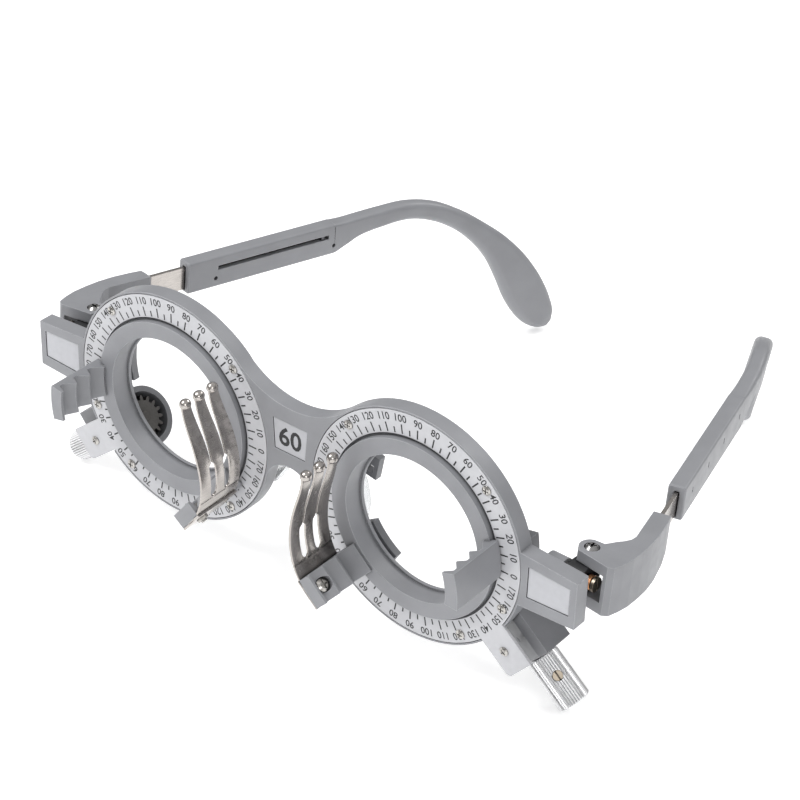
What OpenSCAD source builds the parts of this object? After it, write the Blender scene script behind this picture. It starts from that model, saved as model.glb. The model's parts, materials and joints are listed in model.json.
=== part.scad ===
// Optician's trial frame: two fixed lens apertures with rotating front lens cells,
// axis dials, cell-turning knobs, tilting and folding temples of adjustable length.
// X points to the viewer's right, +Y points from the front face to the wearer, +Z up.
// The origin is midway between the two optical centres, on the front face of the bridge.
// "left" and "right" are the sides seen by someone who looks at the front.

/* [Frame] */
// Distance between the two optical centres
pupil_distance = 60; // [58:0.5:62]
// Outer radius of each frame ring
ring_r = 24.7; // [24.6:0.1:25.2]
// Depth of the moulded front frame
frame_depth = 3.4; // [3.4:0.1:4]
// Height of the bridge top at the middle, above the optical centres
bridge_top = 12.85; // [12:0.1:14]
// Height of the bridge underside at the middle
bridge_low = -0.54; // [-2:0.1:-0.3]
// Distance of each end piece's outer face from the middle
end_x = 66.4; // [66:0.1:67]

/* [Dial] */
// Outer radius of the printed dial
dial_r = 24.2; // [23.8:0.1:24.2]
// Inner radius of the printed dial
dial_bore_r = 19.4; // [19.3:0.05:19.6]
// Thickness of the dial plate
dial_t = 0.6; // [0.4:0.1:0.6]
// Radius of the circle that the dial screws stand on
dial_screw_r = 22.4; // [22.2:0.1:22.6]

/* [Lens cell] */
// Radius of the clear aperture
aperture_r = 15.4; // [14:0.1:15.6]
// Radius of the journal that turns in the frame
journal_r = 19; // [18.9:0.05:19.1]
// Radius of a standard trial lens
lens_r = 19; // [19:0.1:19.2]
// Spacing of the front lens slots
slot_pitch = 3.8; // [3.6:0.1:3.9]
// Number of front lens slots
slot_count = 3; // [2:1:3]
// Turn of the left cell from the mirror image of the right one
left_cell_turn = 10; // [0:1:20]

/* [Axis drive] */
// Module of the crown gear and pinion teeth
gear_module = 0.5; // [0.5]
// Number of teeth on the pinion
pinion_teeth = 16; // [16]
// Number of teeth on the crown gear
crown_teeth = 80; // [80]
// Angle of the knob axis below the horizontal
knob_angle = 39.9; // [36:0.1:44]
// Radius over the knurling of the knob
knob_r = 3.25; // [3:0.05:3.4]
// Length of the knob
knob_len = 10.9; // [9:0.1:12]
// Number of grooves round the knob
knurl_count = 36; // [24:1:40]

/* [Temples] */
// Fold of the left temple from straight back
left_fold = 13; // [0:1:30]
// Fold of the right temple from straight back
right_fold = 15; // [0:1:30]
// Tilt of both temples, negative is down
temple_tilt = -5; // [-6:0.5:2]
// Distance from the hinge to the mouth of the temple sleeve
sleeve_start = 27.4; // [26:0.1:30]
// Height of the temple sleeve
sleeve_h = 7.2; // [7:0.1:7.6]
// Thickness of the temple sleeve
sleeve_w = 3.6; // [3.4:0.1:4]

/* [Hidden] */
$fn = 96;
eps = 0.01;
eye_x = pupil_distance / 2;
fit = 0.05;                    // radial clearance of every turning fit
gap = 0.1;                     // clearance between sliding faces

// axial places, along +Y
web_back = 1.7;                // back of the frame's front web
flange_y = [1.8, 2.65];        // cell flange
pitch_y = 3.25;                // pitch plane of the crown gear
cell_front = -1;
cell_back = 3.8;
ring_y = [3.9, 5.2];           // plate of the rear ring
lip_y = [7, 8.6];              // lips behind the rear lens

// axis drive
pinion_r = gear_module * pinion_teeth / 2;
crown_r = gear_module * crown_teeth / 2;
drive_y = pitch_y + pinion_r;  // knob axis
crown_face = [19.25, 20.85];   // inner and outer radius of the crown teeth
flange_r = 20.9;
pocket_r = 21.05;
cup_r = 6.4;
cup_bore_r = 5.2;
cup_start = 18.9;              // distance of the cup mouth from the optical centre
cup_end = 23.2;
neck_end = 32.8;
shaft_r = 1;
tab_side = [-2.9, 4.25];       // edges of the dial tab, across the knob axis

// bridge arcs: circles tangent to both rings
top_c = (pow(ring_r - bridge_top, 2) - eye_x * eye_x) / (-2 * (ring_r - bridge_top));
top_arc_r = top_c - bridge_top;
low_c = (eye_x * eye_x - pow(ring_r + bridge_low, 2)) / (2 * (ring_r + bridge_low));
low_arc_r = low_c + bridge_low;

// end pieces
end_top = [6, 5.1];            // half height next to the ring, and at the outer end
end_in = 53.4;
plate_in = 55.8;
plate_out = 65;

// hinge
tilt_y = 7.6;                  // pantoscopic tilt axis
tilt_z = 0.2;
hinge_x = 61.9;
hinge_y = 10.6;
ear_u = [2.9, 5.2];            // lower and upper face of an ear
block_x = [59.7, 63.6];
cavity_r = 6.1;
lug_x = [55.2, 58.8];
lug_r = 2.3;

strip_u = [-0.9, 4.3];
strip_o = 7.4;                 // sideways distance of the strip from the hinge
strip_t = 0.8;
sleeve_u = 2;
slot_s = [35.1, 65.1];

// cell furniture, angles for the right cell
comb_angle = 8;
comb_half = 11;
block_angle = 227;
first_slot = 4.1;              // distance of the first lens slot in front of the dial face
tooth_r = 17.5;
tip_front = first_slot + (slot_count - 1) * slot_pitch + 1.7;

// ---------------------------------------------------------------- helpers

// An outline in X and Z, extruded from y0 to y1
module slab(y0, y1) {
    translate([0, y1, 0]) rotate([90, 0, 0]) linear_extrude(height = y1 - y0) children();
}

// Everything for one eye: built for the right eye, mirrored for the left one
module for_side(side) {
    if (side > 0) children();
    else mirror([1, 0, 0]) children();
}

module at_eye() {
    translate([eye_x, 0, 0]) children();
}

// The rotating cell: the left one is turned from its mirror image
module cell_place(side) {
    for_side(side) at_eye() rotate([0, side > 0 ? 0 : left_cell_turn, 0]) children();
}

// Knob axis: local Z runs outward along it, local X is across it and local Y points forward
module on_drive() {
    at_eye() translate([0, drive_y, 0])
        rotate([0, knob_angle, 0]) rotate([0, 90, 0]) rotate([0, 0, 90]) children();
}

// Temple space before folding: origin at the hinge, X outward, Y back, Z up
module tilted() {
    translate([0, tilt_y, tilt_z]) rotate([temple_tilt, 0, 0])
        translate([0, -tilt_y, -tilt_z]) children();
}

module on_temple(side) {
    for_side(side) tilted() translate([hinge_x, hinge_y, 0])
        rotate([0, 0, side > 0 ? right_fold : left_fold]) children();
}

// Cross-headed pan screw along +Z, head on top of z = 0
module cross_screw(head_r, head_h, body_r, length) {
    difference() {
        union() {
            cylinder(r = head_r, h = head_h * 0.5);
            translate([0, 0, head_h * 0.5])
                cylinder(r1 = head_r, r2 = head_r * 0.6, h = head_h * 0.5);
            translate([0, 0, -length]) cylinder(r = body_r, h = length + eps);
        }
        for (a = [0, 90]) rotate([0, 0, a])
            translate([-head_r * 0.62, -head_r * 0.13, head_h * 0.45])
                cube([head_r * 1.24, head_r * 0.26, head_h]);
    }
}

// ---------------------------------------------------------------- sweep

function cross3(a, b) = [a[1]*b[2] - a[2]*b[1], a[2]*b[0] - a[0]*b[2], a[0]*b[1] - a[1]*b[0]];
function unit(v) = v / norm(v);
function tangent(p, i) = unit(p[min(i + 1, len(p) - 1)] - p[max(i - 1, 0)]);
function bend(v, n) = sign(v) * pow(abs(v), 2 / n);

// One ring of a sweep: half width w along the side direction, half height h across it
function ring_points(c, t, side, w, h, n, steps) =
    let (s = unit(side - t * (side * t)), u = cross3(s, t))
    [for (k = [0 : steps - 1]) let (a = 360 * (k + 0.5) / steps)
        c + s * w * bend(cos(a), n) + u * h * bend(sin(a), n)];

// A closed tube through the rings
module tube(rings) {
    n = len(rings);
    m = len(rings[0]);
    points = [for (r = rings) each r];
    sides = [for (i = [0 : n - 2], j = [0 : m - 1])
        [i*m + j, i*m + (j + 1) % m, (i + 1)*m + (j + 1) % m, (i + 1)*m + j]];
    polyhedron(points = points, convexity = 6,
        faces = concat(sides, [[for (j = [m - 1 : -1 : 0]) j]],
                       [[for (j = [0 : m - 1]) (n - 1)*m + j]]));
}

// Smooth curve through a row of stations, any number of values each
function catmull(a, b, c, d, t) = 0.5 * (2*b + (c - a)*t + (2*a - 5*b + 4*c - d)*t*t
    + (3*b - a - 3*c + d)*t*t*t);
function smooth(st, per) = concat(
    [for (i = [0 : len(st) - 2], k = [0 : per - 1])
        catmull(st[max(i - 1, 0)], st[i], st[i + 1], st[min(i + 2, len(st) - 1)], k / per)],
    [st[len(st) - 1]]);

// ---------------------------------------------------------------- frame

module bridge_outline() {
    t_top = top_arc_r / (top_arc_r + ring_r);
    t_low = low_arc_r / (low_arc_r + ring_r);
    difference() {
        polygon([[-eye_x, 0], [-eye_x * t_top, top_c * (1 - t_top)],
                 [eye_x * t_top, top_c * (1 - t_top)], [eye_x, 0],
                 [eye_x * t_low, -low_c * (1 - t_low)], [-eye_x * t_low, -low_c * (1 - t_low)]]);
        translate([0, top_c]) circle(r = top_arc_r);
        translate([0, -low_c]) circle(r = low_arc_r);
    }
}

module end_outline() {
    polygon([[end_in - 6, end_top[0]], [end_in, end_top[0]], [end_x, end_top[1]],
             [end_x, -end_top[1]], [end_in, -end_top[0] + 0.2], [end_in - 6, -end_top[0] + 0.2]]);
}

module end_plate_outline(inset) {
    polygon([[plate_in + inset, 3.75 - inset], [plate_out - inset, 3.2 - inset],
             [plate_out - inset, -2.8 + inset], [plate_in + inset, -3.2 + inset]]);
}

module pd_outline(inset) {
    polygon([[-4.25 + inset, 9.45 - inset], [4.25 - inset, 9.45 - inset],
             [3.75 - inset, 2.55 + inset], [-3.75 + inset, 2.55 + inset]]);
}

// Outline of the dial, with its tab along the knob axis
module dial_outline(grow) {
    circle(r = dial_r + grow);
    rotate(-knob_angle) translate([0, tab_side[0] - grow])
        difference() {
            square([neck_end + grow, tab_side[1] - tab_side[0] + 2 * grow]);
            for (k = [0, 1]) translate([neck_end + grow, k * (tab_side[1] - tab_side[0] + 2 * grow)])
                rotate(k * -90 + 90) tab_corner();
        }
}

// What a rounded corner takes away
module tab_corner() {
    r = 1.2;
    difference() {
        square(r);
        translate([r, r]) circle(r = r, $fn = 48);
    }
}

dial_screw_angles = [45, 135, 228, -58, -22];
tab_screw = [28.2, 0.4];

module dial_screw_places() {
    for (a = dial_screw_angles)
        translate([dial_screw_r * cos(a), 0, dial_screw_r * sin(a)]) children();
    rotate([0, knob_angle, 0]) translate([tab_screw[0], 0, tab_screw[1]]) children();
}

// The rear lug that carries the tilt screw
module tilt_lug(side) {
    for_side(side) difference() {
        union() {
            translate([lug_x[0], frame_depth - 0.4, tilt_z - lug_r])
                cube([lug_x[1] - lug_x[0], tilt_y - frame_depth + 0.4, 2 * lug_r]);
            translate([lug_x[0], tilt_y, tilt_z]) rotate([0, 90, 0])
                cylinder(r = lug_r, h = lug_x[1] - lug_x[0]);
        }
        translate([lug_x[0] + 0.6, tilt_y, tilt_z]) rotate([0, 90, 0])
            cylinder(r = shaft_r + 0.02, h = 6, $fn = 48);
    }
}

module front_frame() {
    color([0.58, 0.585, 0.6]) union() {
        difference() {
            slab(0, frame_depth) {
                bridge_outline();
                for (side = [-1, 1]) scale([side, 1]) {
                    translate([eye_x, 0]) circle(r = ring_r);
                    end_outline();
                }
            }
            for (side = [-1, 1]) for_side(side) {
                at_eye() {
                    slab(-1, frame_depth + 1) circle(r = journal_r + fit);
                    slab(-1, dial_t) dial_outline(0.15);
                    slab(web_back, frame_depth + 1) circle(r = pocket_r);
                    dial_screw_places() slab(-1, frame_depth + 1) circle(r = 0.62, $fn = 32);
                }
                housing_room();
                slab(-1, 0.45) end_plate_outline(0);
            }
            slab(-1, 0.45) pd_outline(0);
        }
        tilt_lug(-1);
        tilt_lug(1);
    }
}

module pd_plate() {
    color([0.8, 0.8, 0.82]) slab(0.12, 0.45) pd_outline(0.1);
}

module end_plate(side) {
    color([0.78, 0.78, 0.8]) for_side(side) slab(0.15, 0.45) end_plate_outline(0.12);
}

module dial(side) {
    color([0.93, 0.93, 0.94]) for_side(side) at_eye() difference() {
        slab(0, dial_t) dial_outline(0);
        slab(-1, dial_t + 1) circle(r = dial_bore_r);
        dial_screw_places() slab(-1, 2) circle(r = 0.62, $fn = 32);
    }
}

module dial_screws(side) {
    color([0.8, 0.78, 0.75]) for_side(side) at_eye() dial_screw_places()
        rotate([90, 0, 0]) cross_screw(0.95, 0.45, 0.6, 3.3, $fn = 32);
}

// Plate behind the cell, with three seats for the rear lens
module rear_ring(side) {
    color([0.5, 0.505, 0.52]) for_side(side) at_eye() difference() {
        union() {
            slab(ring_y[0], ring_y[1]) circle(r = 22.6);
            difference() {
                slab(frame_depth, ring_y[0] + eps) circle(r = 22.6);
                slab(frame_depth - 1, ring_y[0] + 1) circle(r = pocket_r);
            }
            rear_lip(-1.5, 13.5, 22.3);
            rear_lip(-133.5, 13, 22.3);
            rear_tongue();
        }
        slab(ring_y[0] - 1, ring_y[1] + 1) circle(r = 18.4);
        translate([-eye_x, 0, 0]) housing_room();
    }
}

// A seat: a curved post with an inward lip
module rear_lip(angle, half, outer) {
    rotate([0, -angle, 0]) intersection() {
        union() {
            slab(ring_y[1] - eps, lip_y[1]) difference() {
                circle(r = outer);
                circle(r = lens_r + 0.4);
            }
            slab(lip_y[0], lip_y[1]) difference() {
                circle(r = outer);
                circle(r = 17.9);
            }
        }
        slab(0, 20) polygon([[0, 0], [30, -30 * tan(half)], [30, 30 * tan(half)]]);
    }
}

// The nasal seat: a flat tongue with a square window, on a narrow post
module rear_tongue() {
    rotate([0, -170, 0]) difference() {
        union() {
            slab(lip_y[0], lip_y[1]) translate([14.4, -2.6]) square([7.6, 5.2]);
            slab(ring_y[1] - eps, lip_y[1]) translate([lens_r + 0.4, -2.6]) square([2.6, 5.2]);
        }
        slab(0, 20) translate([15.4, -0.2]) square(1.7);
    }
}

// ---------------------------------------------------------------- axis drive

// Room that the frame and rear ring leave for the gear housing
module housing_room() {
    on_drive() {
        translate([0, 0, cup_start - 3]) cylinder(r = cup_r + 0.05, h = cup_end - cup_start + 3.05);
        translate([-tab_side[1] - 0.05, -3, cup_end - 2])
            cube([tab_side[1] - tab_side[0] + 0.1, drive_y - dial_t + 3.05, 12]);
    }
}

// Cup round the pinion, with a neck along the shaft, under the dial's tab
module gear_housing(side) {
    color([0.4, 0.405, 0.42]) for_side(side) difference() {
        intersection() {
            on_drive() union() {
                translate([0, 0, cup_start]) cylinder(r = cup_r, h = cup_end - cup_start);
                translate([0, 0, cup_end - 1.5]) linear_extrude(height = neck_end - cup_end + 1.5)
                    neck_outline();
            }
            at_eye() slab(dial_t + 0.02, 20) circle(r = 60);
        }
        on_drive() {
            translate([0, 0, cup_start - 1]) cylinder(r = cup_bore_r, h = cup_end - cup_start + 0.1);
            translate([0, 0, 20]) cylinder(r = shaft_r + fit, h = 20, $fn = 48);
        }
        at_eye() {
            slab(-1, ring_y[1] + 0.05) circle(r = flange_r + 0.25);
            rotate([0, knob_angle, 0]) translate([tab_screw[0], 0, tab_screw[1]])
                slab(-1, frame_depth + 1) circle(r = 0.62, $fn = 32);
        }
    }
}

module neck_outline() {
    hull() {
        translate([0, 0]) circle(r = 2.55, $fn = 48);
        translate([-tab_side[1], drive_y - 3.3])
            square([tab_side[1] - tab_side[0], 3.3 - dial_t - 0.02]);
    }
}

// Outline of one pinion tooth, pointing along +X
function involute(base, a) = [base * (cos(a) + a * PI / 180 * sin(a)),
                              base * (sin(a) - a * PI / 180 * cos(a))];
function turn(p, a) = [p[0] * cos(a) - p[1] * sin(a), p[0] * sin(a) + p[1] * cos(a)];
function flip(p) = [p[0], -p[1]];

module pinion_outline() {
    base = pinion_r * cos(20);
    root = pinion_r - 0.6;
    tip = pinion_r + 0.42;
    roll_pitch = sqrt(pow(pinion_r / base, 2) - 1) * 180 / PI;
    at_pitch = involute(base, roll_pitch);
    half = 360 / pinion_teeth * 0.21;            // half tooth at the pitch circle
    lead = atan2(at_pitch[1], at_pitch[0]) + half;
    roll_tip = sqrt(pow(tip / base, 2) - 1) * 180 / PI;
    flank = [for (k = [0 : 4]) turn(involute(base, roll_tip * k / 4), -lead)];
    circle(r = root + 0.02, $fn = 64);
    for (i = [0 : pinion_teeth - 1]) rotate(360 / pinion_teeth * i)
        polygon(concat([[root * cos(lead), -root * sin(lead)]], flank,
                       [for (k = [4 : -1 : 0]) flip(flank[k])],
                       [[root * cos(lead), root * sin(lead)]]));
}

module pinion(side) {
    color([0.55, 0.53, 0.5]) for_side(side) on_drive() difference() {
        union() {
            translate([0, 0, crown_face[0] + 0.1]) rotate([0, 0, 90])
                linear_extrude(height = crown_face[1] - crown_face[0] - 0.2) pinion_outline();
            translate([0, 0, crown_face[1] - 0.2]) cylinder(r = 2.4, h = 1.2);
        }
        translate([0, 0, 10]) cylinder(r = shaft_r + 0.01, h = 20, $fn = 48);
    }
}

module knob_shaft(side) {
    color([0.7, 0.7, 0.72]) for_side(side) on_drive()
        translate([0, 0, crown_face[0] - 0.2]) cylinder(r = shaft_r, h = 22, $fn = 48);
}

knob_start = neck_end + 0.25;
set_screw_z = 37.7;
set_screw_turn = 53;           // from across the axis towards the front

module knurl_outline() {
    polygon([for (i = [0 : 2 * knurl_count - 1]) let (a = 180 / knurl_count * i,
        r = i % 2 == 0 ? knob_r : knob_r - 0.28) [r * cos(a), r * sin(a)]]);
}

module knob(side) {
    color([0.85, 0.85, 0.86]) for_side(side) on_drive() difference() {
        intersection() {
            translate([0, 0, knob_start]) linear_extrude(height = knob_len) knurl_outline();
            translate([0, 0, knob_start - eps]) rotate_extrude() polygon([[0, 0], [knob_r - 0.4, 0],
                [knob_r + 0.1, 0.5], [knob_r + 0.1, knob_len - 0.5], [knob_r - 0.4, knob_len + eps],
                [0, knob_len + eps]]);
        }
        translate([0, 0, knob_start - 1]) cylinder(r = shaft_r + 0.01, h = 9.8, $fn = 48);
        set_screw_place() translate([0, 0, 0.6]) cylinder(r = 1.02, h = 5, $fn = 48);
    }
}

module set_screw_place() {
    translate([0, 0, set_screw_z]) rotate([0, 0, 180 - set_screw_turn]) rotate([0, 90, 0]) children();
}

module knob_screw(side) {
    color([0.66, 0.6, 0.5]) for_side(side) on_drive() set_screw_place() difference() {
        translate([0, 0, shaft_r + 0.02]) cylinder(r = 1, h = 1.95, $fn = 48);
        translate([-1.5, -0.13, 2.5]) cube([3, 0.26, 1]);
    }
}

// ---------------------------------------------------------------- lens cell

// Toothed profile of the comb and the block, as distance from the axis and from the dial face
function tooth_profile(inner, outer, back) = concat(
    [[outer, back], [inner, back], [inner, 1.4]],
    [for (k = [0 : slot_count - 1]) let (t = first_slot + k * slot_pitch)
        each [[lens_r + 0.2, t - 0.4], [lens_r + 0.2, t + 0.4], [tooth_r, t + 1.1],
              [tooth_r, t + 1.4]]],
    [[tooth_r, tip_front], [outer, tip_front]]);

module cell_comb() {
    rotate([90, 0, 0]) rotate([0, 0, comb_angle - comb_half])
        rotate_extrude(angle = 2 * comb_half) polygon(tooth_profile(tooth_r, 20.2, 0.3));
}

module crown_tooth() {
    pitch = PI * gear_module;
    half = pitch * 0.21;
    rise = tan(20);
    top = 0.42;
    low = 0.62;
    translate([crown_face[0], 0, 0]) rotate([90, 0, 90])
        linear_extrude(height = crown_face[1] - crown_face[0])
            polygon([[-half - low * rise, pitch_y - low], [half + low * rise, pitch_y - low],
                     [half - top * rise, pitch_y + top], [-half + top * rise, pitch_y + top]]);
}

// Where the crown gear has a gap for the pinion tooth
function mesh_angle(side) = knob_angle - (side > 0 ? 0 : left_cell_turn);

// Toothed ring fixed round the cell
module crown_ring(side) {
    color([0.5, 0.48, 0.46]) cell_place(side) union() {
        difference() {
            slab(flange_y[0], flange_y[1]) circle(r = flange_r);
            slab(flange_y[0] - 1, flange_y[1] + 1) circle(r = journal_r);
        }
        for (i = [0 : crown_teeth - 1])
            rotate([0, mesh_angle(side) + (i + 0.5) * 360 / crown_teeth, 0])
                mirror([0, 0, 1]) rotate([-90, 0, 0]) crown_tooth();
    }
}

module lens_cell(side) {
    color([0.56, 0.565, 0.58]) cell_place(side) difference() {
        union() {
            slab(cell_front, 0.5) circle(r = journal_r - 0.2);
            slab(0.5 - eps, cell_back) circle(r = journal_r);
            cell_comb();
            block_body();
        }
        slab(cell_front - 1, cell_back - 0.6) circle(r = aperture_r);
        slab(cell_back - 1, cell_back + 1) circle(r = aperture_r - 0.5);
        block_radial() {
            translate([0, 0, 16]) cylinder(r = 0.72, h = 8, $fn = 32);
            translate([0, 0, 14]) cylinder(r = 1.5, h = 5.1, $fn = 32);
        }
    }
}

// Local Z points outward through the block's screw, local X is across it
module block_radial() {
    rotate([0, -block_angle, 0]) translate([0, -(first_slot + 2 * slot_pitch - 1.2), 0])
        rotate([0, 90, 0]) children();
}

module block_body() {
    rotate([0, -block_angle, 0]) translate([0, 0, -3.1])
        linear_extrude(height = 6.2) scale([1, -1]) polygon(tooth_profile(15.9, 20.6, 0.3));
}

// Spring clip: an arc of sheet on a centre set off from the optical axis, in three fingers
clip_c = [-0.925, -2.665];
clip_r = 18.26;
clip_t = 0.45;
clip_y = [2.3, tip_front + 0.1];
curl_r = 1.25;

module arc_outline(r, t, a0, a1) {
    span = a1 - a0;
    difference() {
        circle(r = r + t / 2);
        circle(r = r - t / 2);
        rotate(a0 + span / 2) translate([0, 0]) difference() {
            circle(r = r * 2, $fn = 24);
            polygon([[0, 0], for (k = [-4 : 4]) [2.2 * r * cos(span * k / 8), 2.2 * r * sin(span * k / 8)]]);
        }
    }
}

module clip_outline() {
    a_end = 142;               // seen from the arc's own centre
    a_root = 213;
    translate(clip_c) {
        arc_outline(clip_r, clip_t, a_end, a_root);
        rotate(a_end) translate([clip_r + curl_r, 0]) arc_outline(curl_r, clip_t, 180, 265, $fn = 48);
    }
    // straight foot on the outer face of the block, with a step down to the arc
    rotate(block_angle) {
        translate([20.62, -3.6]) square([clip_t, 6.9]);
        translate([20, -3.62]) square([0.62 + clip_t, 0.47]);
    }
}

module lens_clip(side) {
    color([0.62, 0.6, 0.57]) cell_place(side) difference() {
        slab(-clip_y[1], -clip_y[0]) clip_outline();
        for (k = [0, 1]) {
            t = first_slot + (k + 0.5) * slot_pitch;
            slab(-t - 0.2, -t + 0.2) rotate(148) translate([8, -12]) square([20, 26]);
            slab(-t - 0.85, -t + 0.85) rotate(198) translate([10, -6.5]) square([15, 11]);
        }
        block_radial() translate([0, 0, 18]) cylinder(r = 0.72, h = 8, $fn = 32);
    }
}

module clip_screw(side) {
    color([0.82, 0.81, 0.8]) cell_place(side) block_radial() union() {
        translate([0, 0, 19.05]) rotate([180, 0, 0]) cross_screw(1.35, 0.8, 0.68, 3, $fn = 32);
        translate([0, 0, 20.62 + clip_t + 0.02]) cylinder(r = 1.2, h = 0.6, $fn = 6);
    }
}

// ---------------------------------------------------------------- nose rest

module nose_arm(side) {
    color([0.5, 0.505, 0.52]) for_side(side) difference() {
        union() {
            translate([4.2, frame_depth + 0.02, 3]) cube([3.2, 1.6, 5]);
            translate([4.6, frame_depth + 0.02, -2.5]) cube([2.4, 1.6, 6]);
            translate([4.6, frame_depth + 0.02, -2.5]) cube([2.4, 5, 2]);
        }
        translate([5.8, 0, 6]) rotate([-90, 0, 0]) cylinder(r = 0.6, h = 10, $fn = 32);
    }
}

// Soft clear pad, a flattened rounded leaf that leans with the side of the nose
module nose_pad(side) {
    color([0.9, 0.92, 0.93, 0.5]) for_side(side) translate([7.9, 9.9, -7]) rotate([0, -30, -22])
        resize([2.4, 6.4, 14]) sphere(r = 4, $fn = 32);
}

// ---------------------------------------------------------------- hinge

module tilt_screw(side) {
    color([0.72, 0.5, 0.3]) for_side(side) translate([block_x[1] + 1.5, tilt_y, tilt_z])
        rotate([0, 90, 0]) difference() {
            union() {
                cylinder(r = 1.5, h = 0.6, $fn = 48);
                translate([0, 0, -8.6]) cylinder(r = shaft_r, h = 8.7, $fn = 48);
            }
            translate([-2, -0.15, 0.3]) cube([4, 0.3, 1]);
        }
}

// Friction spring under the tilt screw's head
module tilt_spring(side) {
    wire = 0.17;
    turns = 2.75;
    path = [for (k = [0 : 12 * turns]) let (a = k * 30)
        [block_x[1] + 0.3 + k / (12 * turns) * 0.9, tilt_y + 1.3 * cos(a), tilt_z + 1.3 * sin(a)]];
    color([0.75, 0.45, 0.25]) for_side(side) tube([for (i = [0 : len(path) - 1])
        ring_points(path[i], tangent(path, i), [1, 0, 0], wire, wire, 2, 8)]);
}

// Knuckle that tilts on the tilt screw and carries the hinge screw
module tilt_block(side) {
    color([0.3, 0.3, 0.32]) for_side(side) tilted() difference() {
        union() {
            translate([block_x[0], tilt_y, tilt_z]) rotate([0, 90, 0])
                cylinder(r = 2.6, h = block_x[1] - block_x[0]);
            translate([block_x[0], tilt_y, -2.6 + tilt_z])
                cube([block_x[1] - block_x[0], hinge_y - tilt_y, 5.2]);
            translate([hinge_x, hinge_y, -2.8]) cylinder(r = 2.1, h = 5.6);
        }
        translate([50, tilt_y, tilt_z]) rotate([0, 90, 0])
            cylinder(r = shaft_r + fit, h = 20, $fn = 48);
        translate([hinge_x, hinge_y, -5]) cylinder(r = 0.9 + fit, h = 10, $fn = 48);
    }
}

// Plan of the bracket: X outward, Y along the arm
module bracket_plan() {
    polygon(concat(
        [[-2, -2.1], [4.7, -5], [5.9, -4.5], [7, -2.4], [8, 0.1], [8.8, 3.5], [9.35, 7],
         [9.6, 11], [9.55, 15], [9.3, 17.9], [8.5, 18.4], [6.5, 18.4]],
        [[5.95, 17.8], [5.95, 7.4], [5.5, 6], [4.5, 4.8], [3.4, 3.9], [2.5, 2.9], [1.7, 2.1]],
        [for (a = [100 : 20 : 220]) [2.5 * cos(a), 2.5 * sin(a)]]));
}

// Side view of the bracket: X along the arm, Y up
module bracket_side() {
    polygon([[-8, -5.2], [9.5, -5.2], [15.5, -4.3], [18.6, -3], [18.6, 4.4], [17.6, 5], [10, 5.2],
             [-8, 5.2]]);
}

module hinge_bracket(side) {
    color([0.54, 0.545, 0.56]) on_temple(side) difference() {
        intersection() {
            translate([0, 0, -6]) linear_extrude(height = 12) bracket_plan();
            rotate([90, 0, 90]) translate([0, 0, -8]) linear_extrude(height = 20) bracket_side();
        }
        translate([0, 0, -ear_u[0]]) cylinder(r = cavity_r, h = 2 * ear_u[0]);
        translate([0, 0, -8]) cylinder(r = 0.92, h = 16, $fn = 48);
        translate([0, 0, ear_u[1] - 0.7]) cylinder(r = 1.5, h = 3, $fn = 48);
        // seat of the metal strip
        translate([strip_o - strip_t / 2 - 0.01, 11, strip_u[0] - 0.01])
            cube([strip_t + 0.02, 10, strip_u[1] - strip_u[0] + 0.02]);
    }
}

module hinge_screw(side) {
    color([0.86, 0.86, 0.87]) on_temple(side) translate([0, 0, ear_u[1] - 0.68])
        cross_screw(1.42, 1.15, 0.9, 9.6, $fn = 48);
}

// ---------------------------------------------------------------- temples

module slide_strip(side) {
    color([0.75, 0.74, 0.72]) on_temple(side) difference() {
        translate([strip_o - strip_t / 2, 11.2, strip_u[0]])
            cube([strip_t, 54.6, strip_u[1] - strip_u[0]]);
        translate([0, 63.6, 2.9]) rotate([0, 90, 0]) cylinder(r = 0.45, h = 12, $fn = 32);
    }
}

// Stop pin that rides in the sleeve's slot
module strip_pin(side) {
    color([0.3, 0.3, 0.3]) on_temple(side) translate([strip_o - 1.5, 63.6, 2.9])
        rotate([0, 90, 0]) cylinder(r = 0.43, h = 1.5 + strip_t / 2, $fn = 32);
}

// Stations of the ear hook: outward, back, up, half thickness, half height, squareness
hook_stations = [
    [7.4, 66.8, 2, 1.8, 3.6, 5], [7.4, 70, 2.5, 1.8, 3, 4], [7.4, 74, 3.2, 1.8, 2.4, 3.2],
    [7.2, 80, 3.7, 1.85, 2.15, 3], [6.4, 87.5, 4.1, 1.9, 2.05, 2.8],
    [5.2, 94.5, 2.7, 2, 2.15, 2.6], [3.9, 101.3, -0.6, 2.05, 2.3, 2.6],
    [2.6, 107, -4.7, 2.1, 2.7, 2.6], [1.3, 112, -9.4, 2.1, 3.5, 2.6],
    [0.1, 116.2, -15, 2.1, 4.6, 2.6], [-0.9, 119.6, -20.6, 2.1, 5.3, 2.6],
    [-1.8, 123, -25.8, 2, 4.9, 2.4], [-2.4, 126, -29.4, 1.7, 3.4, 2.2],
    [-2.7, 127.6, -31.2, 1, 1.6, 2]];

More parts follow.
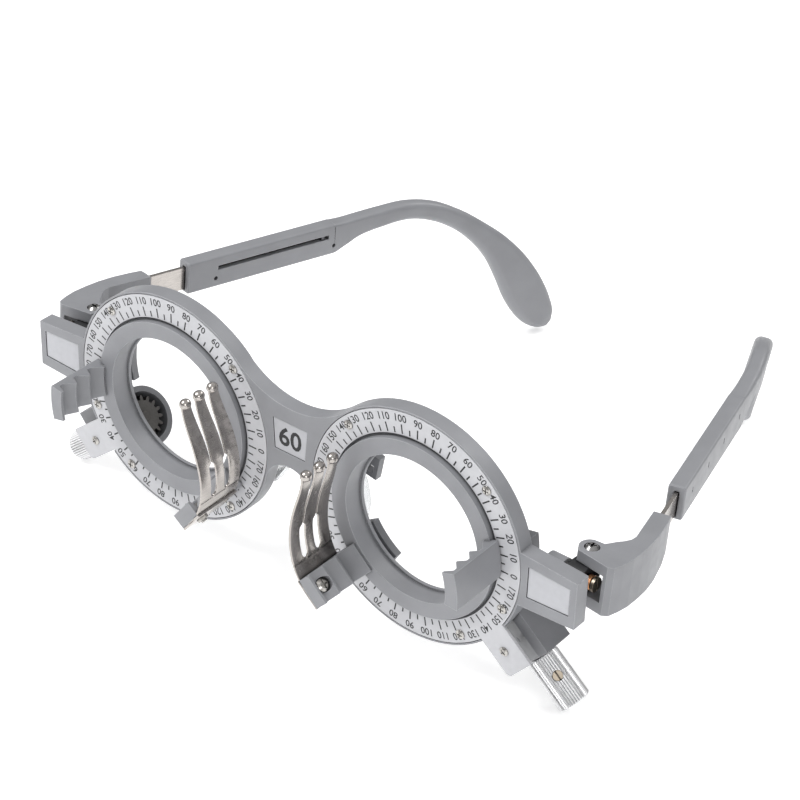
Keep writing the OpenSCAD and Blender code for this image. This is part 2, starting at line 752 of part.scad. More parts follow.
// Moulded sleeve with a curved ear hook, hollow for the strip
module temple(side) {
    st = smooth(hook_stations, 3);
    path = [for (p = st) [p[0], p[1], p[2]]];
    color([0.57, 0.575, 0.59]) on_temple(side) difference() {
        union() {
            sleeve_rings();
            tube([for (i = [0 : len(st) - 1])
                ring_points(path[i], i == 0 ? [0, 1, 0] : tangent(path, i), [1, 0, 0],
                            st[i][3], st[i][4], st[i][5], 20)]);
        }
        translate([strip_o - strip_t / 2 - gap, sleeve_start - 1, strip_u[0] - gap])
            cube([strip_t + 2 * gap, 41, strip_u[1] - strip_u[0] + 2 * gap]);
        translate([strip_o - 4, slot_s[0], 2.4]) cube([4, slot_s[1] - slot_s[0], 1]);
        for (s = [slot_s[0] - 0.3, slot_s[1] + 1.8])
            translate([strip_o - 4, s, 0.5]) rotate([0, 90, 0]) cylinder(r = 0.5, h = 3, $fn = 24);
        for (s = [32.6, 43, 53.4, 64.2])
            translate([strip_o + sleeve_w / 2 - 0.4, s - 0.25, 2]) cube([2, 0.5, 1.4]);
    }
}

module sleeve_rings() {
    tube([for (s = [[sleeve_start, 0.6], [sleeve_start + 0.35, 0], [66.82, 0]])
        ring_points([strip_o, s[0], sleeve_u], [0, 1, 0], [1, 0, 0],
                    sleeve_w / 2 - s[1] * 0.5, sleeve_h / 2 - s[1] * 0.5, 5, 20)]);
}

// ---------------------------------------------------------------- nodes

front_frame();
pd_plate();
dial(-1);  // left_dial
dial(1);  // right_dial
dial_screws(-1);  // left_dial_screws
dial_screws(1);  // right_dial_screws
end_plate(-1);  // left_end_plate
end_plate(1);  // right_end_plate
rear_ring(-1);  // left_rear_ring
rear_ring(1);  // right_rear_ring
gear_housing(-1);  // left_gear_housing
gear_housing(1);  // right_gear_housing
nose_arm(-1);  // left_nose_arm
nose_arm(1);  // right_nose_arm
nose_pad(-1);  // left_nose_pad
nose_pad(1);  // right_nose_pad
lens_cell(-1);  // left_lens_cell
lens_cell(1);  // right_lens_cell
crown_ring(-1);  // left_crown_ring
crown_ring(1);  // right_crown_ring
lens_clip(-1);  // left_lens_clip
lens_clip(1);  // right_lens_clip
clip_screw(-1);  // left_clip_screw
clip_screw(1);  // right_clip_screw
knob_shaft(-1);  // left_knob_shaft
knob_shaft(1);  // right_knob_shaft
pinion(-1);  // left_pinion
pinion(1);  // right_pinion
knob(-1);  // left_knob
knob(1);  // right_knob
knob_screw(-1);  // left_knob_screw
knob_screw(1);  // right_knob_screw
tilt_screw(-1);  // left_tilt_screw
tilt_screw(1);  // right_tilt_screw
tilt_spring(-1);  // left_tilt_spring
tilt_spring(1);  // right_tilt_spring
tilt_block(-1);  // left_tilt_block
tilt_block(1);  // right_tilt_block
hinge_bracket(-1);  // left_hinge_bracket
hinge_bracket(1);  // right_hinge_bracket
hinge_screw(-1);  // left_hinge_screw
hinge_screw(1);  // right_hinge_screw
slide_strip(-1);  // left_slide_strip
slide_strip(1);  // right_slide_strip
strip_pin(-1);  // left_strip_pin
strip_pin(1);  // right_strip_pin
temple(-1);  // left_temple
temple(1);  // right_temple
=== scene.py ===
"""An optician's trial frame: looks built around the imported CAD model."""
import json
import math

import bmesh
import bpy
from mathutils import Matrix, Vector


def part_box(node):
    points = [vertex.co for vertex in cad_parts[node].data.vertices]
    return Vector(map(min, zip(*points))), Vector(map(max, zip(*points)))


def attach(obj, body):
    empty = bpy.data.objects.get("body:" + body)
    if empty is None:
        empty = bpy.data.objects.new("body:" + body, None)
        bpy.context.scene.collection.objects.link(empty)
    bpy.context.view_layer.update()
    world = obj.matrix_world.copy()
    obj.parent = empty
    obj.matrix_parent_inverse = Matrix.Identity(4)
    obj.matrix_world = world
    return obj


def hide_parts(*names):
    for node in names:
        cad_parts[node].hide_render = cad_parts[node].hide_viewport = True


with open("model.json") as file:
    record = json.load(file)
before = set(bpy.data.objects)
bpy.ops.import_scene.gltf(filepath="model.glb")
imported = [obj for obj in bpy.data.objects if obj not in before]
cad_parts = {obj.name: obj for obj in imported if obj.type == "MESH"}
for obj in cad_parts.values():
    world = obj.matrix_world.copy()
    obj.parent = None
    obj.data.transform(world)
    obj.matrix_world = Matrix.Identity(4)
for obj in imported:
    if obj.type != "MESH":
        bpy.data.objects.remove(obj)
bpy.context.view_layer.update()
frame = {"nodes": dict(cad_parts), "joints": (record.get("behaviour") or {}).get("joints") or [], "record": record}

MM = 0.001
SIDES = (("left", -1), ("right", 1))
NODES = frame["nodes"]

# Optical centres: the middle of each dial's bore, on the front of the dial
EYE_X = 30 * MM


# ---------------------------------------------------------------- materials

GRAIN_DEPTH = 0.02 * MM
RAY_SAMPLES = 6
# How much lighter the painted highlight on sharp edges is
EDGE_HIGHLIGHT_TONE = 1.65
# How far, in mm, painted shade reaches into creases
PAINTED_SHADE_REACH = 0.7


def new_material(name):
    """A fresh material, its tree and its Principled shader."""
    mat = bpy.data.materials.new(name)
    mat.use_nodes = True
    tree = mat.node_tree
    return mat, tree, tree.nodes["Principled BSDF"]


def node(tree, kind, **values):
    """A new shader node; input values are given by name, with _ for a space."""
    made = tree.nodes.new(kind)
    for key, value in values.items():
        if key.startswith("p_"):
            setattr(made, key[2:], value)
        else:
            made.inputs[key.replace("_", " ")].default_value = value
    return made


def noise(tree, scale, detail=3.0, stretch=(1, 1, 1)):
    """Noise in object space; stretch scales each axis."""
    coord = tree.nodes.new("ShaderNodeTexCoord")
    mapping = tree.nodes.new("ShaderNodeMapping")
    mapping.inputs["Scale"].default_value = stretch
    made = node(tree, "ShaderNodeTexNoise", Scale=scale, Detail=detail)
    tree.links.new(coord.outputs["Object"], mapping.inputs["Vector"])
    tree.links.new(mapping.outputs["Vector"], made.inputs["Vector"])
    return made.outputs["Fac"]


def ramp(tree, source, stops):
    """Maps a value through colour stops given as (position, grey or colour)."""
    made = tree.nodes.new("ShaderNodeValToRGB")
    elements = made.color_ramp.elements
    while len(elements) < len(stops):
        elements.new(0.5)
    for element, (position, colour) in zip(elements, stops):
        element.position = position
        if isinstance(colour, (int, float)):
            colour = (colour, colour, colour)
        element.color = (*colour, 1)
    tree.links.new(source, made.inputs["Fac"])
    return made.outputs["Color"]


def edge_mask(tree, radius):
    """Near 1 on sharp edges and 0 on flats: where a bevelled normal leaves the true one."""
    bevel = node(tree, "ShaderNodeBevel", Radius=radius, p_samples=RAY_SAMPLES)
    geometry = tree.nodes.new("ShaderNodeNewGeometry")
    dot = node(tree, "ShaderNodeVectorMath", p_operation="DOT_PRODUCT")
    tree.links.new(bevel.outputs["Normal"], dot.inputs[0])
    tree.links.new(geometry.outputs["Normal"], dot.inputs[1])
    return dot.outputs["Value"]


def tone(colour, factor):
    """A colour made lighter or darker."""
    return tuple(min(1.0, c * factor) for c in colour)


def finish_surface(tree, shader, bump_source, bump, edge_radius):
    """Fine bump on top of softly rounded edges."""
    bevel = node(tree, "ShaderNodeBevel", Radius=edge_radius, p_samples=RAY_SAMPLES)
    relief = node(tree, "ShaderNodeBump", Strength=bump, Distance=GRAIN_DEPTH)
    tree.links.new(bump_source, relief.inputs["Height"])
    tree.links.new(bevel.outputs["Normal"], relief.inputs["Normal"])
    tree.links.new(relief.outputs["Normal"], shader.inputs["Normal"])


def plastic(name, colour, rough=0.42, edge=0.26, spread=0.05):
    """Satin moulded plastic: faint mottling, fine grain, a painted highlight lightening the sharp edges and
    painted shade darkening the creases.
    """
    mat, tree, shader = new_material(name)
    mottle = ramp(tree, noise(tree, 160, 4), [(0.3, tone(colour, 1 - spread)),
                                              (0.7, tone(colour, 1 + spread))])
    edge_highlight = node(tree, "ShaderNodeMix", p_data_type="RGBA")
    # Painted highlight: sharp edges take a lighter colour
    mask = ramp(tree, edge_mask(tree, edge * MM), [(0.86, 1.0), (0.995, 0.0)])
    tree.links.new(mask, edge_highlight.inputs["Factor"])
    tree.links.new(mottle, edge_highlight.inputs["A"])
    edge_highlight.inputs["B"].default_value = (*tone(colour, EDGE_HIGHLIGHT_TONE), 1)
    # Painted shade darkens the creases and gaps
    colour_out = darken_creases(tree, edge_highlight.outputs["Result"], PAINTED_SHADE_REACH)
    tree.links.new(colour_out, shader.inputs["Base Color"])
    gloss = ramp(tree, noise(tree, 420, 3), [(0.3, rough - 0.05), (0.7, rough + 0.07)])
    tree.links.new(gloss, shader.inputs["Roughness"])
    finish_surface(tree, shader, noise(tree, 5200, 2), 0.16, edge * MM)
    return mat


def darken_creases(tree, colour, reach):
    """Painted shade: multiplies a colour by how open the surface is within reach, in mm, so creases and gaps come
    out darker.
    """
    open_air = node(tree, "ShaderNodeAmbientOcclusion", Distance=reach * MM,
                    p_samples=RAY_SAMPLES)
    shade_ramp = ramp(tree, open_air.outputs["AO"], [(0.35, 0.18), (0.9, 1.0)])
    mix = node(tree, "ShaderNodeMix", p_data_type="RGBA", p_blend_type="MULTIPLY")
    mix.inputs["Factor"].default_value = 1
    tree.links.new(colour, mix.inputs["A"])
    tree.links.new(shade_ramp, mix.inputs["B"])
    return mix.outputs["Result"]


def metal(name, colour, rough, stretch=(1, 1, 1), grain=3000, spread=0.08, edge=0.1, bump=0.12,
          crease_shade_reach=0):
    """Bare metal, its grain drawn out along the axis with the small stretch factor."""
    mat, tree, shader = new_material(name)
    shader.inputs["Metallic"].default_value = 1
    lines = noise(tree, grain, 3, stretch)
    tint = ramp(tree, lines, [(0.3, tone(colour, 1 - spread)), (0.7, tone(colour, 1 + spread))])
    # Painted shade darkens the creases when a reach is given
    if crease_shade_reach:
        tint = darken_creases(tree, tint, crease_shade_reach)
    tree.links.new(tint, shader.inputs["Base Color"])
    gloss = ramp(tree, noise(tree, 300, 4), [(0.3, rough * 0.8), (0.75, rough * 1.3)])
    tree.links.new(gloss, shader.inputs["Roughness"])
    finish_surface(tree, shader, lines, bump, edge * MM)
    return mat


def painted(name, colour, rough=0.35, metallic=0.0, spread=0.03):
    """Printed or painted sheet, almost even in colour."""
    mat, tree, shader = new_material(name)
    shader.inputs["Metallic"].default_value = metallic
    tint = ramp(tree, noise(tree, 700, 3), [(0.3, tone(colour, 1 - spread)),
                                            (0.7, tone(colour, 1 + spread))])
    tree.links.new(tint, shader.inputs["Base Color"])
    gloss = ramp(tree, noise(tree, 240, 3), [(0.3, rough - 0.05), (0.7, rough + 0.08)])
    tree.links.new(gloss, shader.inputs["Roughness"])
    finish_surface(tree, shader, noise(tree, 4000, 2), 0.06, 0.08 * MM)
    return mat


def clear_rubber(name):
    """Soft clear silicone with a slightly uneven skin."""
    mat, tree, shader = new_material(name)
    shader.inputs["Transmission Weight"].default_value = 0.85
    shader.inputs["IOR"].default_value = 1.42
    tint = ramp(tree, noise(tree, 300, 3), [(0.3, (0.86, 0.88, 0.89)), (0.7, (0.95, 0.96, 0.97))])
    tree.links.new(tint, shader.inputs["Base Color"])
    gloss = ramp(tree, noise(tree, 500, 3), [(0.3, 0.16), (0.7, 0.3)])
    tree.links.new(gloss, shader.inputs["Roughness"])
    relief = node(tree, "ShaderNodeBump", Strength=0.1, Distance=0.05 * MM)
    tree.links.new(noise(tree, 900, 2), relief.inputs["Height"])
    tree.links.new(relief.outputs["Normal"], shader.inputs["Normal"])
    return mat


# One material for each material slot of the record
LOOKS = {
    "frame_grey": plastic("satin_grey", (0.258, 0.262, 0.278)),
    "dark_grey": plastic("satin_dark_grey", (0.19, 0.193, 0.205), rough=0.38),
    "silver_plate": painted("silver_plate", (0.47, 0.475, 0.5), 0.42, metallic=0.2),
    "dial_white": painted("dial_white", (0.53, 0.533, 0.555), 0.36),
    # The reach given to these metals paints shade into their creases
    "screw_steel": metal("screw_steel", (0.5, 0.485, 0.46), 0.28, grain=2500, crease_shade_reach=0.3),
    "screw_chrome": metal("screw_chrome", (0.4, 0.395, 0.39), 0.24, grain=1500, spread=0.03,
                          crease_shade_reach=0.7),
    "spring_steel": metal("spring_steel", (0.48, 0.45, 0.425), 0.24, stretch=(1, 0.05, 1),
                          crease_shade_reach=0.8),
    "knob_aluminium": metal("knob_aluminium", (0.76, 0.76, 0.77), 0.3, grain=1800, spread=0.03,
                            bump=0.02, crease_shade_reach=0.35),
    "shaft_steel": metal("shaft_steel", (0.13, 0.125, 0.12), 0.38, crease_shade_reach=0.6),
    "brass_screw": metal("brass_screw", (0.29, 0.25, 0.2), 0.34, crease_shade_reach=0.4),
    "copper_spring": metal("copper_spring", (0.72, 0.36, 0.18), 0.28),
    "dark_knuckle": plastic("black_knuckle", (0.02, 0.02, 0.022), rough=0.35),
    "dark_pin": metal("dark_pin", (0.12, 0.12, 0.13), 0.4),
    "pad_clear": clear_rubber("pad_clear"),
}
INK = painted("ink_black", (0.012, 0.012, 0.014), 0.45)


def dress(obj, mat):
    obj.data.materials.clear()
    obj.data.materials.append(mat)


def dress_cad_nodes():
    """Every CAD node takes the look of its slot."""
    for entry in frame["record"]["subparts"]:
        dress(NODES[entry["node"]], LOOKS[entry["material_slot"]])


# ---------------------------------------------------------------- pieces and printing

def mesh_object(name, verts, faces):
    mesh = bpy.data.meshes.new(name)
    mesh.from_pydata([tuple(v) for v in verts], [], faces)
    mesh.update()
    obj = bpy.data.objects.new(name, mesh)
    bpy.context.scene.collection.objects.link(obj)
    return obj


def add_piece(obj, mat, body):
    """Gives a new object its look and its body."""
    dress(obj, mat)
    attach(obj, body)
    return obj


class Shapes:
    """Closed shapes gathered into one mesh, with flat bars and words for printing."""

    def __init__(self):
        self.verts, self.faces = [], []

    def add(self, verts, faces):
        base = len(self.verts)
        self.verts += verts
        self.faces += [[base + i for i in face] for face in faces]

    def bar(self, centre, along, across, length, width, height):
        """A flat bar with its top standing height above the plate."""
        out = across.cross(along).normalized()
        if out.y > 0:
            out = -out
        corners = []
        for h in (0, height):
            for a, b in ((-1, -1), (1, -1), (1, 1), (-1, 1)):
                corners.append(centre + along * (a * length / 2) + across * (b * width / 2)
                               + out * h)
        self.add(corners, [[0, 1, 2, 3], [7, 6, 5, 4], [0, 4, 5, 1], [1, 5, 6, 2],
                           [2, 6, 7, 3], [3, 7, 4, 0]])

    def label(self, text, centre, right, up, height, width_scale, height_out, bold=0.0):
        """A word centred on a point; right and up span its plane."""
        verts, faces = glyphs(text, bold)
        xs = [v.x for v in verts]
        ys = [v.y for v in verts]
        scale = height / (max(ys) - min(ys))
        mid_x, mid_y = (max(xs) + min(xs)) / 2, (max(ys) + min(ys)) / 2
        out = right.cross(up).normalized()
        placed = []
        for v in verts:
            placed.append(centre + right * ((v.x - mid_x) * scale * width_scale)
                          + up * ((v.y - mid_y) * scale) + out * (height_out if v.z > 0 else 0))
        self.add(placed, faces)

    def piece(self, name, mat, body):
        obj = mesh_object(name, self.verts, self.faces)
        obj.data.validate()
        return add_piece(obj, mat, body)


_glyphs = {}


def glyphs(text, bold):
    """Vertices and faces of a word at font size 1, made once."""
    key = (text, bold)
    if key not in _glyphs:
        curve = bpy.data.curves.new("word", "FONT")
        curve.body = text
        curve.size = 1
        curve.offset = bold
        curve.extrude = 0.01
        curve.resolution_u = 3
        obj = bpy.data.objects.new("word", curve)
        bpy.context.scene.collection.objects.link(obj)
        depsgraph = bpy.context.evaluated_depsgraph_get()
        mesh = bpy.data.meshes.new_from_object(obj.evaluated_get(depsgraph))
        _glyphs[key] = ([v.co.copy() for v in mesh.vertices],
                        [list(face.vertices) for face in mesh.polygons])
        bpy.data.objects.remove(obj)
        bpy.data.curves.remove(curve)
        bpy.data.meshes.remove(mesh)
    return _glyphs[key]


# Radii where the dial's lines start and end, and of its figures, in mm
LINE_START = 19.65
LINE_ENDS = (21.6, 20.85)      # with a figure, without one
LINE_W = 0.3
LINE_STEP = 5                  # degrees
FIGURE_R = 22.85
FIGURE_H = 1.55
NUMBER_H = 4.3                 # the 60 on the bridge plate
PRINT_H = 0.012 * MM


def dial_print(name, side):
    """Graduations every 5 degrees and figures every 10, counted anticlockwise from the right."""
    made = Shapes()
    eye = Vector((side * EYE_X, 0, 0))
    for step in range(360 // LINE_STEP):
        degrees = LINE_STEP * step
        angle = math.radians(degrees)
        up = Vector((math.cos(angle), 0, math.sin(angle)))
        right = Vector((math.sin(angle), 0, -math.cos(angle)))
        length = (LINE_ENDS[step % 2] - LINE_START) * MM
        made.bar(eye + up * (LINE_START * MM + length / 2), up, right, length, LINE_W * MM,
                 PRINT_H)
        if step % 2 == 0:
            value = degrees if degrees <= 180 else degrees - 180
            made.label(str(value), eye + up * (FIGURE_R * MM), right, up, FIGURE_H * MM, 0.95,
                       PRINT_H, 0.012)
    made.piece(f"{name}_dial_print", INK, "frame")


def pd_number():
    """The distance between the centres, on the bridge plate."""
    made = Shapes()
    low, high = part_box("pd_plate")
    centre = Vector(((low[0] + high[0]) / 2, low[1], (low[2] + high[2]) / 2))
    made.label("60", centre, Vector((1, 0, 0)), Vector((0, 0, 1)), NUMBER_H * MM, 1.0, PRINT_H,
               0.02)
    made.piece("centre_distance_figures", INK, "frame")


# ---------------------------------------------------------------- shaped pieces

def joint(name):
    return next(j for j in frame["joints"] if j["name"] == name)


def arm_matrix(name, side):
    """Arm space in mm: X outward, Y back along the arm, Z up, from the hinge."""
    fold = joint(f"{name}_fold")
    up = Vector(fold["axis"]).normalized()
    back = Vector(joint(f"{name}_length")["axis"]).normalized()
    out = back.cross(up) * side
    made = Matrix((out, back, up)).transposed().to_4x4() @ Matrix.Scale(MM, 4)
    made.translation = Vector(fold["pos_m"])
    return made


def catmull(a, b, c, d, t):
    """From b to c as t goes from 0 to 1, with a and d as neighbours."""
    return 0.5 * (2 * b + (c - a) * t + (2 * a - 5 * b + 4 * c - d) * t ** 2
                  + (3 * b - a - 3 * c + d) * t ** 3)


def smooth_rows(rows, per):
    """Catmull-Rom through rows of numbers."""
    made = []
    last = len(rows) - 1
    for i in range(last):
        four = [rows[max(i - 1, 0)], rows[i], rows[i + 1], rows[min(i + 2, last)]]
        for k in range(per):
            made.append([catmull(*values, k / per) for values in zip(*four)])
    return made + [list(rows[-1])]


def rounded_ring(centre, tangent, side_axis, half_w, half_h, corner, arc=6):
    """A rounded rectangle across a path; half_w lies along side_axis."""
    side = (side_axis - tangent * side_axis.dot(tangent)).normalized()
    up = side.cross(tangent)
    corner = min(corner, half_w * 0.999, half_h * 0.999)
    ring = []
    for quarter, (a, b) in enumerate(((1, 1), (-1, 1), (-1, -1), (1, -1))):
        for k in range(arc + 1):
            turn = math.radians(90 * (quarter + k / arc))
            ring.append(centre + side * (a * (half_w - corner) + corner * math.cos(turn))
                        + up * (b * (half_h - corner) + corner * math.sin(turn)))
    return ring


def loft(rings):
    """Vertices and faces of a closed tube through equal rings."""
    size = len(rings[0])
    verts = [point for ring in rings for point in ring]
    faces = []
    for i in range(len(rings) - 1):
        for j in range(size):
            k = (j + 1) % size
            faces.append([i * size + j, i * size + k, (i + 1) * size + k, (i + 1) * size + j])
    faces.append(list(range(size))[::-1])
    faces.append([(len(rings) - 1) * size + j for j in range(size)])
    return verts, faces


def fix_normals(obj):
    """Turns every face outward."""
    work = bmesh.new()
    work.from_mesh(obj.data)
    bmesh.ops.recalc_face_normals(work, faces=work.faces)
    work.to_mesh(obj.data)
    work.free()


def box_shape(low, high, matrix):
    """Vertices and faces of a box in arm space."""
    outline = ((low[0], low[1]), (high[0], low[1]), (high[0], high[1]), (low[0], high[1]))
    verts = [matrix @ Vector((x, y, z)) for z in (low[2], high[2]) for x, y in outline]
    faces = [[0, 1, 2, 3], [4, 5, 6, 7], [0, 1, 5, 4], [1, 2, 6, 5], [2, 3, 7, 6], [3, 0, 4, 7]]
    return verts, faces


def rod_shape(start, end, radius, matrix, steps=20):
    """Vertices and faces of a round rod in arm space."""
    axis = (end - start).normalized()
    side = axis.orthogonal().normalized()
    across = axis.cross(side)
    rings = [[matrix @ (point + side * (radius * math.cos(2 * math.pi * k / steps))
                        + across * (radius * math.sin(2 * math.pi * k / steps)))
              for k in range(steps)] for point in (start, end)]
    return loft(rings)


def carve(obj, cutters):
    """Cuts closed shapes out of a piece and applies the result."""
    for verts, faces in cutters:
        tool = mesh_object("cutter", verts, faces)
        fix_normals(tool)
        step = obj.modifiers.new("cut", "BOOLEAN")
        step.operation = "DIFFERENCE"
        step.solver = "EXACT"
        step.object = tool
        depsgraph = bpy.context.evaluated_depsgraph_get()
        mesh = bpy.data.meshes.new_from_object(obj.evaluated_get(depsgraph))
        obj.modifiers.clear()
        obj.data = mesh
        bpy.data.objects.remove(tool)


def shade(obj, degrees):
    """Smooth shading, with edges sharper than an angle left hard."""
    for face in obj.data.polygons:
        face.use_smooth = True
    obj.data.set_sharp_from_angle(angle=math.radians(degrees))


# Stations of the sleeve and of the ear hook, in arm space: outward, back, up, half width,
# half height, corner radius
SLEEVE = [
    [7.4, 27.4, 2, 1.62, 3.42, 0.4], [7.4, 27.6, 2, 1.8, 3.6, 0.5], [7.4, 47, 2, 1.8, 3.6, 0.5]]
HOOK = [
    [7.4, 66.8, 2, 1.8, 3.6, 0.5], [7.4, 70, 2.5, 1.8, 3, 0.7], [7.4, 74, 3.2, 1.8, 2.4, 0.9],
    [7.2, 80, 3.7, 1.85, 2.15, 1.1], [6.4, 87.5, 4.1, 1.9, 2.05, 1.3],
    [5.2, 94.5, 2.7, 2, 2.15, 1.4], [3.9, 101.3, -0.6, 2.05, 2.3, 1.5],
    [2.6, 107, -4.7, 2.1, 2.7, 1.6], [1.3, 112, -9.4, 2.1, 3.5, 1.7],
    [0.1, 116.2, -15, 2.1, 4.6, 1.8], [-0.9, 119.6, -20.6, 2.1, 5.3, 1.9],
    [-1.8, 123, -25.8, 2, 4.9, 1.9], [-2.4, 126, -29.4, 1.7, 3.4, 1.6],
    [-2.7, 127.6, -31.2, 0.9, 1.4, 0.9]]
STRIP_CHANNEL = (6.85, 26, -1.05), (7.95, 67, 4.45)
PIN_SLOT = (4, 35.1, 2.4), (7, 65.1, 3.4)
INNER_HOLES = (34.6, 66.6)
OUTER_SLITS = (32.6, 43, 53.4, 64.2)


def temple(name, side):
    """Sleeve and ear hook in one, with the strip's channel, slot, holes and slits."""
    matrix = arm_matrix(name, side)
    rows = SLEEVE + smooth_rows(HOOK, 7)
    points = [Vector(row[:3]) for row in rows]
    rings = []
    for i, row in enumerate(rows):
        if i <= len(SLEEVE):
            tangent = Vector((0, 1, 0))
        else:
            tangent = (points[min(i + 1, len(points) - 1)] - points[i - 1]).normalized()
        rings.append([matrix @ p for p in rounded_ring(points[i], tangent, Vector((1, 0, 0)),
                                                       *row[3:])])
    obj = mesh_object(f"{name}_temple_arm", *loft(rings))
    fix_normals(obj)
    cutters = [box_shape(*STRIP_CHANNEL, matrix), box_shape(*PIN_SLOT, matrix)]
    for back in INNER_HOLES:
        cutters.append(rod_shape(Vector((4, back, 0.5)), Vector((6.3, back, 0.5)), 0.5, matrix))
    for back in OUTER_SLITS:
        cutters.append(box_shape((8.75, back - 0.25, 2), (11, back + 0.25, 3.3), matrix))
    carve(obj, cutters)
    shade(obj, 30)
    add_piece(obj, LOOKS["frame_grey"], f"{name}_earpiece")
    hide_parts(f"{name}_temple")


# Spring clip on the right cell: angle and radius about the optical axis, in degrees and mm
CLIP_ROWS = [[229, 20.75], [222, 20.7], [215, 20.5], [207, 20.1], [198, 19.5], [189, 18.85],
             [180, 18.3], [171, 17.95], [163, 17.85], [156, 18.1], [151, 18.6], [148.5, 19.05]]
CLIP_T = 0.45
CLIP_DEPTH = (-13.4, -2.4)
CLIP_WINDOW = (188.0, 209.0)   # the angles between which the windows lie
WINDOW_ROUND = 3.0             # degrees over which a window's end closes
CURL_R = 1.1
CURL = 34                      # degrees
CURL_STEPS = 7
TAPER = 0.5                    # taken off each side of a finger at its tip
TAPER_FROM = 184               # degrees
TAPER_SPAN = 34
BEAD_AT = -4                   # station of the bead, counted from the tip
BEAD = (1.1, 1.25, 1.1)
# Depth of each finger beyond the windows, then beside them
FINGERS = (((-5.85, -2.4), (-5.2, -2.4)),
           ((-9.65, -6.15), (-9.0, -6.8)),
           ((-13.4, -9.95), (-13.4, -10.65)))
BLOCK_ANGLE = math.radians(227)
BLOCK_FACE = 20.62             # the outer face, from the optical axis
FOOT = (-3.15, -1, 1, 3.2)     # stations across that face
LEFT_TURN = math.radians(10)   # the left cell at rest, from the mirror of the right one


def cell_point(side, x, y, z):
    """From the right cell's own axes in mm to the world; the left one is its turned mirror."""
    if side < 0:
        c, s = math.cos(LEFT_TURN), math.sin(LEFT_TURN)
        x, z = x * c + z * s, z * c - x * s
    return Vector((side * (EYE_X + x * MM), y * MM, z * MM))


def clip_path():
    """Centre line of the sheet as (angle, position, tangent, outward), root to curled tip."""
    rows = smooth_rows(CLIP_ROWS, 7)
    points = [Vector((r * math.cos(math.radians(a)), 0, r * math.sin(math.radians(a))))
              for a, r in rows]
    made = []
    for i, point in enumerate(points):
        tangent = (points[min(i + 1, len(points) - 1)] - points[max(i - 1, 0)]).normalized()
        made.append((rows[i][0], point, tangent, Vector((-tangent.z, 0, tangent.x))))
    angle, point, forward, out = made[-1]
    if out.dot(point) < 0:
        made = [(a, p, t, -o) for a, p, t, o in made]
        out = -out
    hub = point + out * CURL_R
    for k in range(1, CURL_STEPS + 1):
        b = math.radians(CURL * k / CURL_STEPS)
        made.append((angle - k, hub + (forward * math.sin(b) - out * math.cos(b)) * CURL_R,
                     forward * math.cos(b) + out * math.sin(b),
                     out * math.cos(b) - forward * math.sin(b)))
    return made


def blend_width(angle, full, narrow):
    """Narrow beside the window, full beyond it, with round window ends."""
    low, high = CLIP_WINDOW
    near = min(1, max(0, (high - angle) / WINDOW_ROUND))
    far = min(1, max(0, (angle - low) / WINDOW_ROUND))
    weight = math.sqrt(1 - (1 - near) ** 2) * math.sqrt(1 - (1 - far) ** 2)
    return tuple(f + (n - f) * weight for f, n in zip(full, narrow))


def strip_rings(side, rows):
    """Sections of a sheet given as (centre, tangent, outward, low depth, high depth)."""
    rings = []
    for centre, tangent, out, low, high in rows:
        centre = centre + Vector((0, (low + high) / 2, 0))
        ring = rounded_ring(centre, tangent, out, CLIP_T / 2, (high - low) / 2, 0.12, 3)
        rings.append([cell_point(side, *point) for point in ring])
    return rings


def ball(side, centre, radii, steps=20):
    """A closed round bead, slightly cut off at both ends of its depth."""
    rings = []
    for k in range(1, steps):
        polar = math.pi * k / steps
        rings.append([cell_point(side, centre.x + radii[0] * math.sin(polar) * math.cos(t),
                                 centre.y + radii[1] * math.cos(polar),
                                 centre.z + radii[2] * math.sin(polar) * math.sin(t))
                      for t in (2 * math.pi * j / steps for j in range(steps))])
    return loft(rings)


def lens_clip(name, side):
    """Three spring fingers on one sheet, screwed to the cell's toothed block."""
    made = Shapes()
    path = clip_path()
    base = [(p, t, o, *CLIP_DEPTH) for a, p, t, o in path if a >= CLIP_WINDOW[1] - 0.5]
    made.add(*loft(strip_rings(side, base)))
    for full, narrow in FINGERS:
        rows = []
        for a, p, t, o in path:
            if a <= CLIP_WINDOW[1] + 2:
                low, high = blend_width(a, full, narrow)
                taper = TAPER * min(1, max(0, (TAPER_FROM - a) / TAPER_SPAN)) ** 1.4
                rows.append((p, t, o, low + taper, high - taper))
        made.add(*loft(strip_rings(side, rows)))
        _, point, _, out = path[BEAD_AT]
        centre = point - out * 0.1 + Vector((0, (full[0] + full[1]) / 2, 0))
        made.add(*ball(side, centre, BEAD))
    # foot on the outer face of the block
    out = Vector((math.cos(BLOCK_ANGLE), 0, math.sin(BLOCK_ANGLE)))
    across = Vector((-out.z, 0, out.x))
    foot = [(out * (BLOCK_FACE + CLIP_T / 2) + across * w, across, out, *CLIP_DEPTH)
            for w in FOOT]
    made.add(*loft(strip_rings(side, foot)))
    obj = made.piece(f"{name}_spring_clip", LOOKS["spring_steel"], f"{name}_cell")
    fix_normals(obj)
    shade(obj, 40)
    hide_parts(f"{name}_lens_clip")


# ---------------------------------------------------------------- scene

FLOOR_HALF = 12.0
FLOOR_GAP = 0.0004


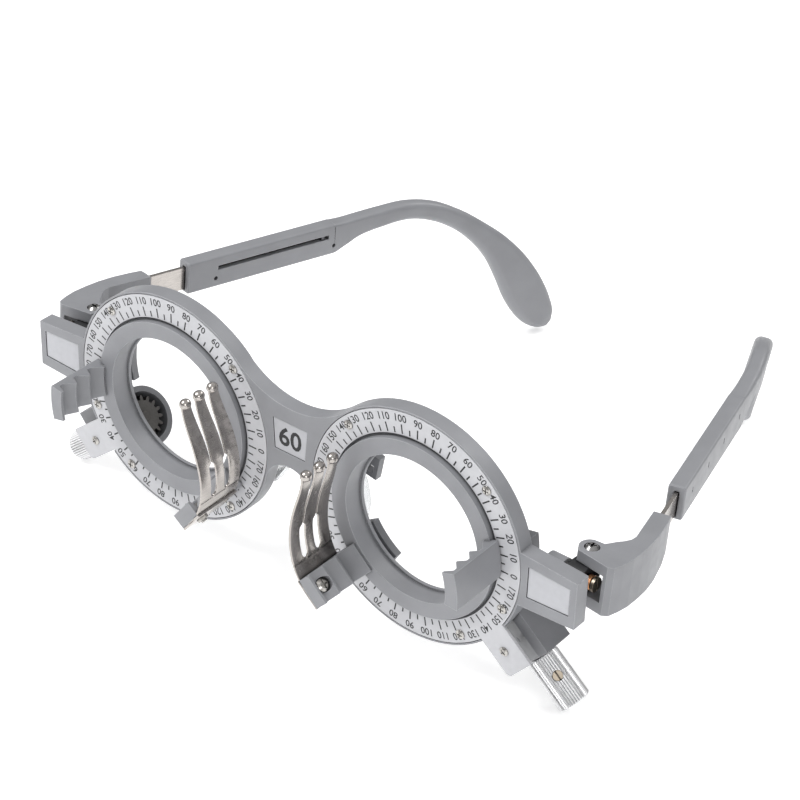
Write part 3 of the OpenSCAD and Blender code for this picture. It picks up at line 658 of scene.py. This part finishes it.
def stage():
    """A pale floor, sloped to pass just under the knobs and the ear hooks."""
    mat, tree, shader = new_material("floor_white")
    shader.inputs["Base Color"].default_value = (0.92, 0.92, 0.92, 1)
    shader.inputs["Roughness"].default_value = 0.7
    shader.inputs["Emission Color"].default_value = (1, 1, 1, 1)
    shader.inputs["Emission Strength"].default_value = 0.42
    front = Vector((0, 7.25 * MM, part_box("right_knob")[0].z))
    low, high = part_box("right_temple")
    back = Vector((0, high.y - 5 * MM, low.z))
    slope = (back - front).normalized()
    normal = Vector((1, 0, 0)).cross(slope)
    middle = front - normal * FLOOR_GAP
    corners = [middle + Vector((a * FLOOR_HALF, 0, 0)) + slope * (b * FLOOR_HALF)
               for a, b in ((-1, -1), (1, -1), (1, 1), (-1, 1))]
    floor = mesh_object("floor", corners, [[0, 1, 2, 3]])
    dress(floor, mat)


def aim(position, target):
    """The turn that points a lamp at its target."""
    direction = (Vector(target) - Vector(position)).normalized()
    return direction.to_track_quat("-Z", "Y").to_matrix().to_4x4()


def light(name, position, size, power, target=(0, 0.04, 0)):
    data = bpy.data.lights.new(name, "AREA")
    data.shape = "DISK"
    data.size = size
    data.energy = power
    obj = bpy.data.objects.new(name, data)
    obj.matrix_world = Matrix.Translation(position) @ aim(position, target)
    bpy.context.scene.collection.objects.link(obj)


def studio_world():
    """Bright overhead and dim round the horizon, so that bare metal shows some contrast."""
    world = bpy.data.worlds.new("studio")
    world.use_nodes = True
    tree = world.node_tree
    coord = tree.nodes.new("ShaderNodeTexCoord")
    split = tree.nodes.new("ShaderNodeSeparateXYZ")
    tree.links.new(coord.outputs["Generated"], split.inputs["Vector"])
    sky = ramp(tree, split.outputs["Z"], [(0.0, 0.22), (0.28, 0.3), (0.5, 0.75), (0.85, 1.0)])
    background = tree.nodes["Background"]
    tree.links.new(sky, background.inputs["Color"])
    background.inputs["Strength"].default_value = 0.62
    bpy.context.scene.world = world


def lights():
    """A sky, and three soft round lamps."""
    studio_world()
    light("key", (-0.35, -0.3, 0.75), 0.4, 4.6)
    light("fill", (0.7, -0.45, 0.4), 0.4, 1.6)
    light("back", (0.15, 0.8, 0.55), 0.4, 2.6)


# The camera's place and directions in the shared frame, solved from the photo
CAMERA_AT = Vector((0.250295, -0.295592, 0.275363))
CAMERA_RIGHT = Vector((0.7836, 0.6206, 0.0301))
CAMERA_LOOK = Vector((-0.50233, 0.66131, -0.55707))
FOCAL_MM = 112.31


def camera():
    """The photo's view."""
    look = CAMERA_LOOK.normalized()
    right = (CAMERA_RIGHT - look * CAMERA_RIGHT.dot(look)).normalized()
    up = right.cross(look)
    data = bpy.data.cameras.new("camera")
    data.sensor_width = 36
    data.lens = FOCAL_MM
    data.clip_start = 0.01
    obj = bpy.data.objects.new("camera", data)
    obj.matrix_world = Matrix((
        (right.x, up.x, -look.x, CAMERA_AT.x),
        (right.y, up.y, -look.y, CAMERA_AT.y),
        (right.z, up.z, -look.z, CAMERA_AT.z),
        (0, 0, 0, 1)))
    bpy.context.scene.collection.objects.link(obj)
    bpy.context.scene.camera = obj


camera()
dress_cad_nodes()
for side_name, side_sign in SIDES:
    dial_print(side_name, side_sign)
    temple(side_name, side_sign)
    lens_clip(side_name, side_sign)
pd_number()
lights()
stage()
bpy.context.scene.view_settings.view_transform = "Standard"
